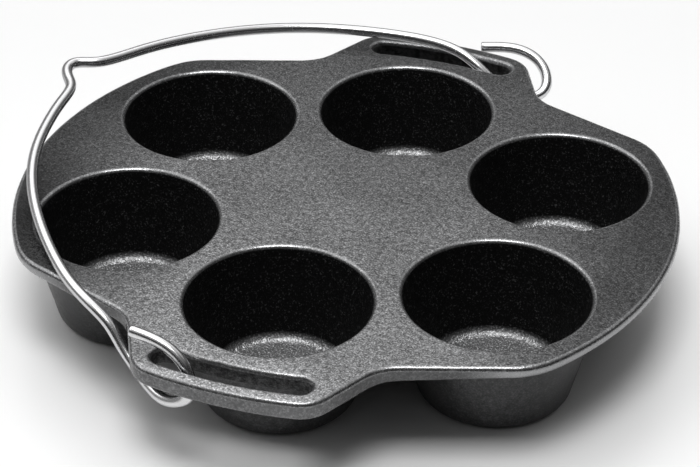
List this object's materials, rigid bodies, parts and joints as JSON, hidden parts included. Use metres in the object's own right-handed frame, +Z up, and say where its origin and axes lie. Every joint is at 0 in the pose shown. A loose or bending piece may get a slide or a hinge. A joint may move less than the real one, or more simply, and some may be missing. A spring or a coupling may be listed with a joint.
{
  "type": "muffin pan",
  "caption": "Round cast iron muffin pan: deep tapered cups hang from a flat plate with a slotted ear at each end, and a bent wire bail hooks loosely through the slots for lifting.",
  "frame": {"origin": "centre of the plate's flat top face", "axes": "+Z up out of the cup mouths, +Y from the centre towards the ear that the bail's long open hook goes round, -X the side the bail lies on at rest"},
  "size_m": [0.2996, 0.3054, 0.0644],
  "materials": {
    "cast_iron": "seasoned dark grey iron with a fine sandy cast grain",
    "steel_wire": "satin drawn wire, bent cold, with blunt cut ends"
  },
  "bodies": {
    "pan": {"pan_casting": "cast_iron"},
    "bail": {"bail_handle": "steel_wire"}
  },
  "joints": [
    {"name": "bail_swing", "type": "hinge", "parent": "pan", "child": "bail", "pos_m": [-0.019, 0, -0.0008], "axis": [0.165, 0.9861, 0.0192], "range_deg": [0, 125]}
  ]
}
